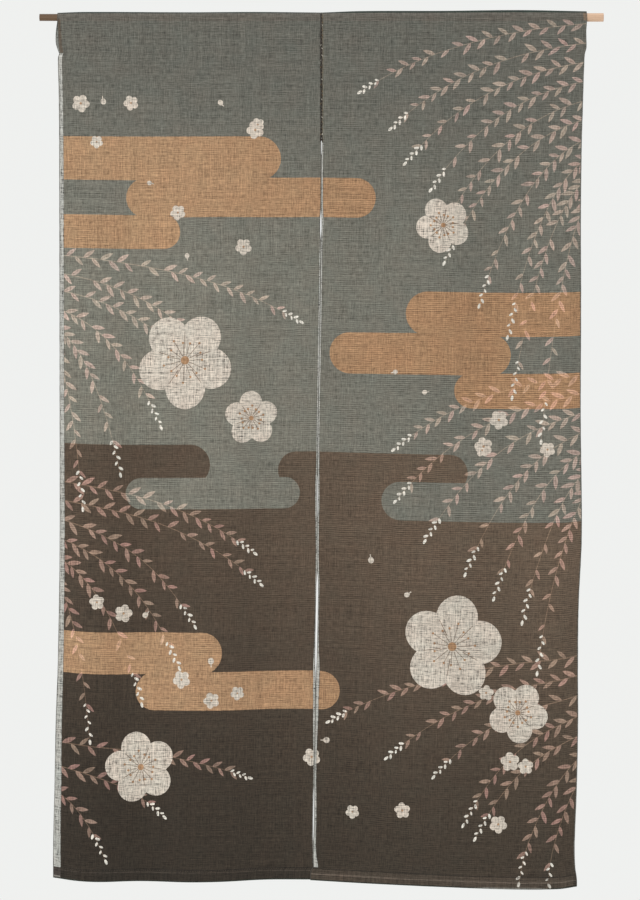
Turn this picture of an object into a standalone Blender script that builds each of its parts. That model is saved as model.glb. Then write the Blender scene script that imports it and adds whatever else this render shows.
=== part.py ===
# Noren curtain: two hemp panels sewn together at the top, hung by their rod pockets on a plain pole.
# Metres, +Z up, front facing -Y. The origin is the middle of the pole's axis.
import math

import bmesh
import bpy
from mathutils import Vector

MM = 0.001
OBJECT_NAME = "noren_curtain"

# Driving sizes
CLOTH_THICKNESS = 1.0 * MM
CLEARANCE = 0.35 * MM
CUT_WIDTH = 456 * MM
COLUMNS = 20

POLE_LENGTH = 970 * MM
POLE_RADIUS_LEFT = 6.0 * MM
POLE_RADIUS_RIGHT = 7.3 * MM
POLE_SIDES = 24
POLE_EASE = 0.8 * MM
POLE_RIM_ANGLE = math.radians(60)

POCKET_SEAM_DROP = 62 * MM
POCKET_SEAM_DEPTH = -2.0 * MM
POCKET_ROWS = 4
WRAP_STEPS = 3
CREASE_RISE = 1.01
SEAM_MERGE = 0.01 * MM

HEM_HEIGHT = 20 * MM
HEM_LAYER_STEP = CLOTH_THICKNESS + CLEARANCE
HEM_TURN_STEPS = 3

BODY_ROWS = 26
FOLD_START = 75 * MM
FOLD_GROWTH = 520 * MM
FOLD_SAMPLES = 60

# Side edges of each panel below the pocket's seam: drop from the pole's axis, in millimetres
LEFT_EDGES = [
    # drop, left, right
    (62, -450.4, -0.2),
    (70, -452.7, -0.2),
    (125, -451.5, -0.2),
    (214, -450.6, -0.3),
    (340, -450.2, -2.2),
    (485, -449.8, -3.8),
    (690, -449.4, -6.8),
    (890, -449.3, -8.6),
    (1010, -450.7, -9.6),
    (1115, -452.8, -11.2),
    (1210, -456.3, -11.6),
    (1320, -458.4, -14.2),
    (1430, -460.8, -15.8),
    (1500, -460.6, -17.4),
]
RIGHT_EDGES = [
    # drop, left, right
    (62, 0.2, 452.4),
    (70, 0.2, 451.8),
    (125, 0.2, 450.0),
    (214, 0.3, 447.2),
    (340, 0.4, 445.4),
    (485, -1.0, 445.6),
    (690, -4.8, 445.0),
    (890, -6.6, 447.0),
    (1010, -5.7, 441.4),
    (1115, -7.9, 440.2),
    (1210, -9.8, 440.6),
    (1320, -11.6, 438.4),
    (1430, -13.6, 434.4),
    (1500, -16.4, 436.8),
]

# Ends of the rod pocket, where its front layer is drawn in and its back layer bells out
LEFT_POCKET_ENDS = [
    # drop, left end of front, left end of back, right end of both
    (-10, -453.8, -453.8, -0.2),
    (6, -452.0, -454.8, -0.2),
    (24, -448.4, -456.4, -0.2),
    (44, -447.6, -455.6, -0.2),
    (62, -450.4, -450.4, -0.2),
]
RIGHT_POCKET_ENDS = [
    # drop, left end of front, left end of back, right end of both
    (-10, 0.2, 0.2, 455.6),
    (6, 0.2, 0.2, 455.8),
    (24, 0.2, 0.2, 454.6),
    (52, 0.2, 0.2, 455.2),
    (62, 0.2, 0.2, 452.4),
]

# The pressed crease over the pole: height above the pole's axis, in millimetres
LEFT_CREST = [
    # across, height
    (0.00, 7.9),
    (0.10, 9.5),
    (0.50, 8.9),
    (0.75, 9.5),
    (1.00, 8.4),
]
RIGHT_CREST = [
    # across, height
    (0.00, 8.4),
    (0.15, 11.0),
    (0.45, 11.4),
    (0.75, 12.7),
    (1.00, 10.6),
]

# The bottom edge: drop below the pole's axis, in millimetres
LEFT_BOTTOM = [
    # across, drop
    (0.00, 1479.0),
    (0.10, 1484.0),
    (0.25, 1487.0),
    (0.60, 1486.0),
    (1.00, 1483.0),
]
RIGHT_BOTTOM = [
    # across, drop
    (0.00, 1484.0),
    (0.20, 1489.5),
    (0.45, 1495.0),
    (0.75, 1500.0),
    (0.93, 1499.5),
    (1.00, 1495.0),
]

# Soft folds: where the ridge or hollow lies at the top and at the hem, how wide it is,
# both as shares of the panel's width, and its height, towards the front where positive
LEFT_FOLDS = [
    # top, hem, width, height
    (0.10, 0.13, 0.20, 1.0),
    (0.36, 0.33, 0.22, -0.8),
    (0.62, 0.58, 0.26, 0.9),
    (0.88, 0.84, 0.20, -0.7),
]
RIGHT_FOLDS = [
    # top, hem, width, height
    (0.14, 0.18, 0.24, -0.6),
    (0.42, 0.40, 0.26, 0.9),
    (0.70, 0.74, 0.22, -0.7),
    (0.94, 0.93, 0.16, 0.8),
]

PANELS = {
    "panel_left": {
        "edges": LEFT_EDGES,
        "pocket_ends": LEFT_POCKET_ENDS,
        "crest": LEFT_CREST,
        "bottom": LEFT_BOTTOM,
        "folds": LEFT_FOLDS,
    },
    "panel_right": {
        "edges": RIGHT_EDGES,
        "pocket_ends": RIGHT_POCKET_ENDS,
        "crest": RIGHT_CREST,
        "bottom": RIGHT_BOTTOM,
        "folds": RIGHT_FOLDS,
    },
}

CLOTH_COLOUR = (0.13, 0.12, 0.09, 1.0)
CLOTH_ROUGHNESS = 0.9
POLE_COLOUR = (0.55, 0.36, 0.21, 1.0)
POLE_ROUGHNESS = 0.5


def material(name, colour, roughness):
    finish = bpy.data.materials.new(name)
    finish.use_nodes = True
    shader = finish.node_tree.nodes["Principled BSDF"]
    shader.inputs["Base Color"].default_value = colour
    shader.inputs["Roughness"].default_value = roughness
    shader.inputs["Metallic"].default_value = 0.0
    return finish


def add_object(name, shape, finish, collection):
    """Turn a bmesh into a named object with its material."""
    mesh = bpy.data.meshes.new(name)
    shape.to_mesh(mesh)
    shape.free()
    mesh.materials.append(finish)
    piece = bpy.data.objects.new(name, mesh)
    collection.objects.link(piece)
    return piece


def smooth_step(share):
    share = min(max(share, 0.0), 1.0)
    return share * share * (3 - 2 * share)


def row_slope(rows, index, column):
    """Slope of a table's column at one of its rows, from the rows on either side."""
    before = rows[max(index - 1, 0)]
    after = rows[min(index + 1, len(rows) - 1)]
    return (after[column] - before[column]) / (after[0] - before[0])


def read_table(rows, place, column=1):
    """A table's column at a place in its first column, on a smooth curve through the rows."""
    place = min(max(place, rows[0][0]), rows[-1][0])
    index = max(i for i in range(len(rows) - 1) if rows[i][0] <= place)
    upper, lower = rows[index], rows[index + 1]
    span = lower[0] - upper[0]
    share = (place - upper[0]) / span
    ease = smooth_step(share)
    leave = row_slope(rows, index, column) * span * share * (1 - share) ** 2
    arrive = row_slope(rows, index + 1, column) * span * share * share * (share - 1)
    return upper[column] + (lower[column] - upper[column]) * ease + leave + arrive


def pole_radius(x):
    """The pole thickens evenly from its left end to its right end."""
    share = x / POLE_LENGTH + 0.5
    return POLE_RADIUS_LEFT + (POLE_RADIUS_RIGHT - POLE_RADIUS_LEFT) * share


def fold_shape(folds, across, down):
    """Sum of the soft folds at a place on the panel, before it is scaled to take up the slack."""
    total = 0.0
    for top, hem, width, height in folds:
        middle = top + (hem - top) * down
        away = (across - middle) / width
        if abs(away) < 1:
            total += height * (0.5 + 0.5 * math.cos(math.pi * away))
    return total


def fold_height(folds, down, width):
    """How far the folds stand out, so that the cloth's length across them is its cut width."""
    samples = [fold_shape(folds, step / FOLD_SAMPLES, down) for step in range(FOLD_SAMPLES + 1)]
    steepness = sum((b - a) ** 2 for a, b in zip(samples, samples[1:])) * FOLD_SAMPLES
    slack = max(CUT_WIDTH - width, 0.0)
    return math.sqrt(2 * width * slack / steepness)


def body_point(panel, across, drop):
    """A point of the hanging cloth, at a share of its width and a distance below the pole's axis."""
    left = read_table(panel["edges"], drop / MM, 1) * MM
    right = read_table(panel["edges"], drop / MM, 2) * MM
    down = min(drop / MM / read_table(panel["bottom"], across), 1.0)
    growth = smooth_step((drop - FOLD_START) / FOLD_GROWTH)
    folds = panel["folds"]
    ridge = fold_shape(folds, across, down) * fold_height(folds, down, right - left)
    depth = POCKET_SEAM_DEPTH - ridge * growth
    return Vector((left + (right - left) * across, depth, -drop))


def wrap_profile(crest, radius):
    """(depth, height) of the cloth's middle: up the pocket's front, over the pole and down its back."""
    widest_step = math.pi / 2 / WRAP_STEPS
    reach = (radius + CLEARANCE + CLOTH_THICKNESS / 2) / math.cos(widest_step / 2)
    peak = max(crest - CLOTH_THICKNESS / 2, reach * CREASE_RISE)
    lean = math.acos(reach / peak)
    back = []
    for step in range(WRAP_STEPS + 1):
        angle = lean + (math.pi / 2 - lean) * step / WRAP_STEPS
        back.append((reach * math.sin(angle), reach * math.cos(angle)))
    front = [(-depth, height) for depth, height in back]
    for row in range(1, POCKET_ROWS):
        share = row / POCKET_ROWS
        ease = smooth_step(share)
        height = -POCKET_SEAM_DROP * share
        back.append((POCKET_SEAM_DEPTH * ease + reach * (1 - ease), height))
        front.append((POCKET_SEAM_DEPTH * ease - reach * (1 - ease), height))
    return front[::-1] + [(0.0, peak)] + back


def pocket_column(panel, across):
    """The rod pocket: up its front layer, over the pole and down its back layer, short of the seam."""
    ends = panel["pocket_ends"]
    middle = read_table(ends, 0, 1) * (1 - across) + read_table(ends, 0, 3) * across
    crest = read_table(panel["crest"], across) * MM
    profile = wrap_profile(crest, pole_radius(middle * MM))
    points = []
    for index, (depth, height) in enumerate(profile):
        back = index > len(profile) // 2
        left = read_table(ends, -height / MM, 2 if back else 1) * MM
        right = read_table(ends, -height / MM, 3) * MM
        points.append(Vector((left + (right - left) * across, depth, height)))
    return points


def hem_column(panel, across):
    """The turned-up hem: down its back layer, round the bottom edge and up to the top of the hem."""
    turn = HEM_LAYER_STEP / 2
    lowest = read_table(panel["bottom"], across) * MM - CLOTH_THICKNESS / 2 - turn
    middle = body_point(panel, across, lowest) + Vector((0, turn, 0))
    bend = []
    for step in range(HEM_TURN_STEPS + 1):
        angle = math.pi * step / HEM_TURN_STEPS
        bend.append(middle + turn * Vector((0, math.cos(angle), -math.sin(angle))))
    top = body_point(panel, across, lowest - HEM_HEIGHT)
    return [top + Vector((0, HEM_LAYER_STEP, 0))] + bend + [top]


def panel_column(panel, across):
    """The middle of the cloth down one thread, from the hem's inner edge round to the pocket's seam."""
    points = hem_column(panel, across)
    hem_top = -points[-1].z
    for row in range(1, BODY_ROWS + 1):
        drop = hem_top + (POCKET_SEAM_DROP - hem_top) * row / BODY_ROWS
        points.append(body_point(panel, across, drop))
    seam = points[-1]
    return points + pocket_column(panel, across) + [seam]


def make_panel(name, panel, collection):
    """One length of cloth: a sheet whose pocket closes on itself at the seam, then given its thickness."""
    columns = [panel_column(panel, step / COLUMNS) for step in range(COLUMNS + 1)]
    last_row = len(columns[0]) - 1
    sheet = bmesh.new()
    bmesh.ops.create_grid(sheet, x_segments=COLUMNS, y_segments=last_row, size=0.5)
    for vertex in sheet.verts:
        column = round((vertex.co.x + 0.5) * COLUMNS)
        row = round((vertex.co.y + 0.5) * last_row)
        vertex.co = columns[column][row]
    bmesh.ops.remove_doubles(sheet, verts=sheet.verts, dist=SEAM_MERGE)
    bmesh.ops.recalc_face_normals(sheet, faces=sheet.faces)
    finish = material(name + " hemp", CLOTH_COLOUR, CLOTH_ROUGHNESS)
    cloth = add_object(name, sheet, finish, collection)
    cloth.data.shade_smooth()
    thickness = cloth.modifiers.new("cloth thickness", "SOLIDIFY")
    thickness.solidify_mode = "NON_MANIFOLD"
    thickness.nonmanifold_thickness_mode = "EVEN"
    thickness.nonmanifold_merge_threshold = SEAM_MERGE
    thickness.thickness = CLOTH_THICKNESS
    thickness.offset = 0.0


def make_pole(collection):
    """A plain round pole, a little thicker at its right end, with eased rims."""
    shape = bmesh.new()
    bmesh.ops.create_cone(
        shape,
        cap_ends=True,
        segments=POLE_SIDES,
        radius1=POLE_RADIUS_LEFT,
        radius2=POLE_RADIUS_RIGHT,
        depth=POLE_LENGTH,
    )
    pole = add_object("pole", shape, material("pole wood", POLE_COLOUR, POLE_ROUGHNESS), collection)
    pole.rotation_euler = (0.0, math.pi / 2, 0.0)
    pole.data.shade_smooth()
    pole.data.set_sharp_from_angle(angle=POLE_RIM_ANGLE)
    rim = pole.modifiers.new("eased rims", "BEVEL")
    rim.limit_method = "ANGLE"
    rim.angle_limit = POLE_RIM_ANGLE
    rim.width = POLE_EASE
    rim.segments = 1


def build():
    for old in list(bpy.data.objects):
        bpy.data.objects.remove(old)
    collection = bpy.data.collections.new(OBJECT_NAME)
    bpy.context.scene.collection.children.link(collection)
    for name, panel in PANELS.items():
        make_panel(name, panel, collection)
    make_pole(collection)


build()
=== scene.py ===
import math
import random

import bmesh
import bpy
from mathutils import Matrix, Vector, geometry, noise


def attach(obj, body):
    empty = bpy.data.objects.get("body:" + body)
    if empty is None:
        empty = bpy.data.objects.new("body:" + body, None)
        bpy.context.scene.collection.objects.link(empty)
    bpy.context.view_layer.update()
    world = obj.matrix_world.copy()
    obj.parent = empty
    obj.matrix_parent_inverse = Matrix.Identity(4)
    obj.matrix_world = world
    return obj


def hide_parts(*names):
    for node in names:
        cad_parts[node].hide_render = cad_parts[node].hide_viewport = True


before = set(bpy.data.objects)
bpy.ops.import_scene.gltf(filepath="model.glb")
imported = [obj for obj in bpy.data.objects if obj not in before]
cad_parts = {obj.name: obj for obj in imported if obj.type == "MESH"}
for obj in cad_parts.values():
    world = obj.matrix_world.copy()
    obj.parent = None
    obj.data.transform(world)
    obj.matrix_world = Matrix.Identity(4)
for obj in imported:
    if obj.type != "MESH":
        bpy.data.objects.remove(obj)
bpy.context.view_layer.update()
mm = 0.001

# Noren curtain: two printed hemp panels sewn together at the top and hung on a plain pole.
# The front faces -Y. The print is laid out in millimetres, across from the centre seam (left
# is minus) and down from the pole's axis.


# shape of the hanging cloth

hang = {
    "cutWidth": 456,  # each panel before it was hung
    "seamDrop": 62,  # foot of the rod pocket below the pole's axis
    "wrap": 13,  # cloth from the crease over the pole down to its side
    "seamDepth": -2.0,
    "layerGap": 0.4,  # between a layer and the middle of a doubled place
    "bodyLength": 1424,  # from the pocket's seam to the bottom fold
    "slitTop": 214,  # drop where the centre seam ends
    "panelReach": 455,  # from the centre seam to the outer edge
    "hem": 20,
    "hemTurn": 0.68,  # radius of the bottom fold
    "foldStart": 75,  # drop where the folds begin
    "foldGrowth": 520,
    "foldDrop": 1490,  # drop where they end
    "poleLeft": 6.0,  # radius at each end
    "poleRight": 7.3,
    "poleLength": 970,
    "clearance": 0.85,  # from the pole to the middle of the cloth over it
}
hang["seamRun"] = hang["wrap"] + hang["seamDrop"]
hang["bottomRun"] = hang["seamRun"] + hang["bodyLength"]
hang["seamEnd"] = hang["wrap"] + hang["slitTop"]
hang["turnRun"] = hang["hemTurn"] * math.pi
hang["lastRun"] = hang["bottomRun"] + hang["turnRun"] + hang["hem"]

# outer side edges: drop, place
leftOuter = [
    (62, -450.4), (70, -452.7), (125, -451.5), (214, -450.6), (485, -449.8),
    (690, -449.4), (890, -449.3), (1010, -450.7), (1115, -452.8), (1210, -456.3),
    (1320, -458.4), (1430, -460.8), (1500, -460.6),
]
rightOuter = [
    (62, 452.4), (70, 451.8), (125, 450.0), (214, 447.2), (340, 445.4),
    (485, 445.6), (690, 445.0), (890, 447.0), (1010, 441.4), (1115, 440.2),
    (1210, 440.6), (1320, 438.4), (1430, 434.4), (1462, 435.8), (1480, 438.6),
    (1500, 439.0),
]

# slit between the panels: drop, place of its middle, width
slit = [
    (62, 0.0, 0.0), (200, 0.0, 0.0), (214, -0.1, 1.7), (228, -0.2, 1.7),
    (240, -0.3, 0.5), (285, -0.5, 0.0), (325, -0.8, 0.4), (345, -1.0, 2.7),
    (368, -1.2, 2.7), (388, -1.4, 0.3), (485, -2.4, 0.0), (690, -5.8, 0.0),
    (775, -6.8, 0.2), (800, -7.2, 1.5), (845, -7.4, 1.7), (870, -7.5, 0.3),
    (945, -7.4, 0.2), (975, -7.4, 3.4), (1050, -8.6, 4.0), (1100, -9.5, 3.4),
    (1130, -9.9, 1.4), (1160, -10.3, 0.5), (1210, -10.9, 0.2), (1310, -12.7, 0.2),
    (1340, -13.2, 2.0), (1400, -14.1, 2.0), (1428, -14.4, 0.2), (1452, -14.2, 0.0),
    (1462, -14.3, 0.0), (1467, -18.2, 0.0), (1500, -19.0, 0.0),
]

# outer ends of the rod pocket: drop, front, back
leftPocket = [
    (-10, -453.8, -453.8), (6, -453.4, -454.8), (24, -452.4, -456.8), (44, -452.0, -456.6),
    (55, -450.6, -453.4), (62, -450.0, -450.8),
]
rightPocket = [
    (-10, 455.6, 455.6), (6, 455.8, 455.8), (24, 454.6, 454.6), (52, 455.2, 455.2),
    (62, 452.4, 452.4),
]

# crease over the pole: across, height
leftCrest = [(0.00, 7.9), (0.10, 9.5), (0.50, 8.9), (0.75, 9.5), (1.00, 8.4)]
rightCrest = [(0.00, 8.4), (0.15, 11.0), (0.45, 11.4), (0.75, 12.7), (1.00, 10.6)]

# bottom edge: across, drop
leftBottom = [(0.00, 1479.0), (0.10, 1484.0), (0.25, 1487.0), (0.60, 1486.0), (1.00, 1483.0)]
rightBottom = [
    (0.00, 1484.0), (0.20, 1489.5), (0.45, 1495.0), (0.75, 1500.0),
    (0.93, 1499.5), (1.00, 1495.0),
]

# soft folds: place at the top, place at the hem, width, height to the front
leftFolds = [
    (0.10, 0.13, 0.20, 1.0),
    (0.36, 0.33, 0.22, -0.8),
    (0.62, 0.58, 0.26, 0.9),
    (0.88, 0.84, 0.20, -0.7),
]
rightFolds = [
    (0.14, 0.18, 0.24, -0.6),
    (0.42, 0.40, 0.26, 0.9),
    (0.70, 0.74, 0.22, -0.7),
    (0.94, 0.93, 0.16, 0.8),
]


def smoothStep(share):
    share = min(max(share, 0.0), 1.0)
    return share * share * (3 - 2 * share)


def rowSlope(rows, index, column):
    before = rows[max(index - 1, 0)]
    after = rows[min(index + 1, len(rows) - 1)]
    return (after[column] - before[column]) / (after[0] - before[0])


def readTable(rows, place, column=1):  # smooth curve through a table's rows
    place = min(max(place, rows[0][0]), rows[-1][0])
    index = max(i for i in range(len(rows) - 1) if rows[i][0] <= place)
    upper, lower = rows[index], rows[index + 1]
    span = lower[0] - upper[0]
    share = (place - upper[0]) / span
    leave = rowSlope(rows, index, column) * span * share * (1 - share) ** 2
    arrive = rowSlope(rows, index + 1, column) * span * share * share * (share - 1)
    return upper[column] + (lower[column] - upper[column]) * smoothStep(share) + leave + arrive


def foldShape(folds, across, down):
    total = 0.0
    for top, hem, width, height in folds:
        away = (across - top - (hem - top) * down) / width
        if abs(away) < 1:
            total += height * (0.5 + 0.5 * math.cos(math.pi * away))
    return total


def sideEdges(panel, drop):
    outer = readTable(panel["outer"], drop)
    inner = readTable(slit, drop) + panel["side"] * readTable(slit, drop, 2) / 2
    return (outer, inner) if panel["side"] < 0 else (inner, outer)


def foldHeight(panel, down):  # so that the cloth across the folds is as long as its cut width
    left, right = sideEdges(panel, down * hang["foldDrop"])
    samples = [foldShape(panel["folds"], step / 60, down) for step in range(61)]
    steepness = sum((b - a) ** 2 for a, b in zip(samples, samples[1:])) * 60
    return math.sqrt(2 * (right - left) * max(hang["cutWidth"] - (right - left), 0) / steepness)


panels = {
    "left": {
        "node": "panel_left",
        "side": -1,
        "outer": leftOuter,
        "pocket": leftPocket,
        "crest": leftCrest,
        "bottom": leftBottom,
        "folds": leftFolds,
        "start": -hang["cutWidth"],  # where the panel starts in the print's layout
    },
    "right": {
        "node": "panel_right",
        "side": 1,
        "outer": rightOuter,
        "pocket": rightPocket,
        "crest": rightCrest,
        "bottom": rightBottom,
        "folds": rightFolds,
        "start": 0,
    },
}
foldLevels = 80
for panel in panels.values():
    panel["heights"] = [foldHeight(panel, level / foldLevels) for level in range(foldLevels + 1)]


def poleRadius(x):
    share = x / hang["poleLength"] + 0.5
    return hang["poleLeft"] + (hang["poleRight"] - hang["poleLeft"]) * share


def cockle(x, drop):  # small unevenness of washed hemp, in millimetres
    place = Vector((x / 62, drop / 95, 3.7))
    fine = Vector((x / 21, drop / 34, 9.1))
    return 0.75 * noise.noise(place) + 0.25 * noise.noise(fine)


def seamCurl(panel, across, drop):  # the sewn edges turn to the back down the centre seam
    away = (1 - across if panel["side"] < 0 else across) * hang["cutWidth"]
    ends = smoothStep((hang["slitTop"] + 10 - drop) / 20) * smoothStep((drop - 12) / 14)
    return 1.1 * max(0.0, 1 - away / 2.8) ** 2 * ends


def bodyPoint(panel, across, drop):
    left, right = sideEdges(panel, drop)
    down = min(drop / readTable(panel["bottom"], across), 1.0)
    level = min(down, 0.9999) * foldLevels
    low = int(level)
    upper, lower = panel["heights"][low], panel["heights"][low + 1]
    height = upper + (lower - upper) * (level - low)
    growth = smoothStep((drop - hang["foldStart"]) / hang["foldGrowth"])
    x = left + (right - left) * across
    below = drop - hang["seamDrop"]
    depth = hang["seamDepth"] - hang["layerGap"] * math.exp(-below / 18)
    depth -= foldShape(panel["folds"], across, down) * height * growth
    depth -= cockle(x, drop) * smoothStep(below / 60)
    return Vector((x, depth + seamCurl(panel, across, drop), -drop))


def pocketPoint(panel, across, run):
    back = run > 0
    run = abs(run)
    share = across if panel["side"] > 0 else 1 - across
    reach = poleRadius(panel["side"] * share * hang["panelReach"]) + hang["clearance"]
    if run < hang["wrap"]:
        angle = run / hang["wrap"] * math.pi / 2
        peak = max(readTable(panel["crest"], across), reach * 1.02)
        out = reach * math.sin(angle)
        height = reach * math.cos(angle) + (peak - reach) * (1 - run / hang["wrap"]) ** 3
    else:
        down = (run - hang["wrap"]) / hang["seamDrop"]
        height = -hang["seamDrop"] * down
        out = reach * (1 - smoothStep(down)) + hang["layerGap"] * smoothStep(down)
    settle = hang["seamDepth"] * smoothStep(-height / hang["seamDrop"])
    outer = readTable(panel["pocket"], -height, 2 if back else 1)
    x = outer * share
    ripple = 0.35 * noise.noise(Vector((x / 24, height / 40, 5.5 if back else 1.2)))
    ripple *= smoothStep(-height / 30)
    curl = 0 if back else seamCurl(panel, across, -height)
    return Vector((x, settle + (out if back else -out) + ripple + curl, height))


def clothPoint(panel, s, t):  # s mm across from the cloth's left edge, t mm down from the crease
    across = s / hang["cutWidth"]
    if abs(t) <= hang["seamRun"]:
        return pocketPoint(panel, across, -t) * mm
    bottom = readTable(panel["bottom"], across)
    lowest = bottom - hang["hemTurn"] - 0.3
    stretch = (lowest - hang["seamDrop"]) / hang["bodyLength"]
    if t <= hang["bottomRun"]:
        return bodyPoint(panel, across, hang["seamDrop"] + (t - hang["seamRun"]) * stretch) * mm
    turned = t - hang["bottomRun"]
    if turned < hang["turnRun"]:
        angle = turned / hang["hemTurn"]
        point = bodyPoint(panel, across, lowest)
        turn = Vector((0, 1 - math.cos(angle), -math.sin(angle))) * hang["hemTurn"]
        return (point + turn) * mm
    point = bodyPoint(panel, across, lowest - (turned - hang["turnRun"]))
    return (point + Vector((0, 2 * hang["hemTurn"], 0))) * mm


# print: shapes as loops of (across, down), each with its dye

def paint(red, green, blue):  # a colour as it looks, 0 to 255, made linear
    values = [c / 255 for c in (red, green, blue)]
    return Vector([c / 12.92 if c <= 0.04045 else ((c + 0.055) / 1.055) ** 2.4 for c in values])


dyes = {
    "greenTop": (104, 103, 95),
    "greenLow": (125, 123, 112),
    "brownTop": (99, 84, 70),
    "brownLow": (63, 55, 46),
    "ochre": (168, 131, 98),
    "ochreLeft": (174, 139, 106),
    "vein": (104, 78, 64),
    "white": (209, 198, 184),
    "bud": (232, 226, 214),
    "line": (116, 96, 78),
    # painted shade: the pole showing dark through the cloth laid over it
    "poleShadow": (98, 86, 78),
    "seamShade": (48, 42, 38),
    "seamTan": (124, 114, 94),
    # painted shade: a dark line along the fold over the pole and along the bottom fold
    "creaseShade": (36, 50, 42),
    "hemLine": (44, 39, 34),
    "hemBand": (100, 88, 77),
    # painted shade: the doubled hem drawn darker
    "hemShade": (42, 38, 33),
    "hemEnd": (96, 86, 84),
    "hemCorner": (160, 156, 148),
    "hemLight": (130, 116, 104),
    # painted light: the pole's lit wood glowing through the cloth at the right end
    "poleGlow": (150, 122, 96),
    "selvedge": (188, 187, 180),
    "selvedgeYarn": (78, 76, 70),
    "pocketEnd": (150, 152, 146),
    # painted shade in the fold at the pocket's left end, tinted with a painted reflection of the pole
    "pocketEdgeShade": (96, 78, 62),
}
dyes = {name: paint(*colour) for name, colour in dyes.items()}
# these are added to the ground, which shows through the leaves
dyes["leaf"] = Vector((0.275, 0.146, 0.131))
dyes["leafTan"] = Vector((0.225, 0.158, 0.117))
dyes["stem"] = Vector((0.12, 0.075, 0.05))

printed = []


def addShape(loop, layer, colour, opacity=1.0, resist=0.0, glow=0.0):
    shape = {"loop": loop, "layer": layer, "colour": colour}
    shape.update(opacity=opacity, resist=resist, glow=glow)
    printed.append(shape)


def roughen(loop, step=3.0, amount=0.35):  # the ragged edge that dye leaves along the yarns
    rough = []
    for a, b in zip(loop, loop[1:] + loop[:1]):
        run = math.dist(a, b)
        pieces = max(1, round(run / step))
        for k in range(pieces):
            x = a[0] + (b[0] - a[0]) * k / pieces
            y = a[1] + (b[1] - a[1]) * k / pieces
            shift = noise.noise_vector(Vector((x / 2.3, y / 2.3, 0)))
            rough.append((x + shift.x * amount, y + shift.y * amount))
    return rough


def band(x0, x1, y0, y1):  # a bar of mist with round ends
    radius = (y1 - y0) / 2
    middle = (y0 + y1) / 2
    steps = 14
    angles = [math.pi * k / steps for k in range(steps + 1)]
    turns = [(radius * math.sin(a), radius * math.cos(a)) for a in angles]
    right = [(x1 - radius + out, middle - down) for out, down in turns]
    left = [(x0 + radius - out, middle + down) for out, down in turns]
    return right + left


def spot(x, y, angle, along, aside=0.0):  # a place seen from (x, y), along and beside a direction
    across = x + math.cos(angle) * along - math.sin(angle) * aside
    return across, y + math.sin(angle) * along + math.cos(angle) * aside


def circle(x, y, radius, steps, squash=1.0, angle=0.0):
    around = [math.tau * k / steps for k in range(steps)]
    return [spot(x, y, angle, radius * math.cos(a), radius * squash * math.sin(a)) for a in around]


def ribbon(path, width, endWidth=None):  # a thin line as a strip round its path
    endWidth = width if endWidth is None else endWidth
    left, right = [], []
    for k, point in enumerate(path):
        before, after = path[max(k - 1, 0)], path[min(k + 1, len(path) - 1)]
        dx, dy = after[0] - before[0], after[1] - before[1]
        size = math.hypot(dx, dy)
        half = (width + (endWidth - width) * k / (len(path) - 1)) / 2
        left.append((point[0] - dy / size * half, point[1] + dx / size * half))
        right.append((point[0] + dy / size * half, point[1] - dx / size * half))
    return left + right[::-1]


def bend(start, pull, end, steps):
    return [((1 - u) ** 2 * start[0] + 2 * u * (1 - u) * pull[0] + u * u * end[0],
             (1 - u) ** 2 * start[1] + 2 * u * (1 - u) * pull[1] + u * u * end[1])
            for u in [k / steps for k in range(steps + 1)]]


grounds = {
    "boundary": 800,
    "brownBars": [(-620, -190, 735, 806), (-70, 260, 748, 810)],
    "greenBars": [(110, 640, 796, 862), (-340, -30, 792, 846)],
    "ochreBars": [
        (-560, -70, 205, 280),
        (-340, 96, 276, 344),
        (-560, -245, 340, 398),
        (150, 620, 470, 545),
        (18, 335, 541, 612),
        (236, 620, 608, 668),
        (-620, -165, 1058, 1130),
        (-318, 42, 1126, 1192),
    ],
}


def groundDye(x, y):  # soft shading of the ground, lighter towards the middle
    side = smoothStep((x + 460) / 920)
    lift = smoothStep((y - 40) / 420) * (1 - 0.55 * side)
    return dyes["greenTop"].lerp(dyes["greenLow"], lift)


def brownDye(x, y):  # darker towards the left and the foot
    side = smoothStep((x + 420) / 840)
    down = smoothStep((y - 690 - 90 * side) / 760)
    return dyes["brownTop"].lerp(dyes["brownLow"], down) * (0.76 + 0.4 * side)


def ochreDye(x, y):
    return dyes["ochreLeft"].lerp(dyes["ochre"], smoothStep((x + 300) / 500))


def addGrounds():
    edge = grounds["boundary"]
    addShape([(-700, -200), (700, -200), (700, 1700), (-700, 1700)], 0, groundDye)
    addShape(roughen([(-700, edge), (700, edge), (700, 1700), (-700, 1700)]), 1, brownDye)
    for bar in grounds["brownBars"]:
        addShape(roughen(band(*bar)), 1, brownDye)
    for bar in grounds["greenBars"]:
        addShape(roughen(band(*bar)), 2, groundDye)
    for bar in grounds["ochreBars"]:
        addShape(roughen(band(*bar)), 3, ochreDye)


leafPrint = {
    "length": (20, 27),
    "width": 0.31,  # share of the length
    "spacing": 13,
    "lean": 0.62,
    "stem": 1.7,
    "buds": 4,
}


def addLeaf(x, y, angle, length, layer, colour):
    half = length * leafPrint["width"] / 2
    outline = []
    steps = 7
    for k in range(steps + 1):
        u = k / steps
        outline.append((u, half * math.sin(math.pi * u ** 0.85) ** 0.8 if 0 < u < 1 else 0))
    loop = outline + [(u, -w) for u, w in outline[-2:0:-1]]
    loop = [spot(x, y, angle, u * length, w) for u, w in loop]
    addShape(loop, layer, colour, 1.0, 0.1, 1.3)
    vein = [spot(x, y, angle, u * length) for u in (0.12, 0.4, 0.7)]
    addShape(ribbon(vein, 1.1, 0.4), layer + 0.1, dyes["vein"], 0.45)


def addCatkin(x, y, angle, size):  # a furry white bud
    loop = circle(*spot(x, y, angle, size * 0.6), size * 0.62, 8, 0.5, angle)
    addShape(loop, 6.5, dyes["bud"], 0.95, 0.6)


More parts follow.
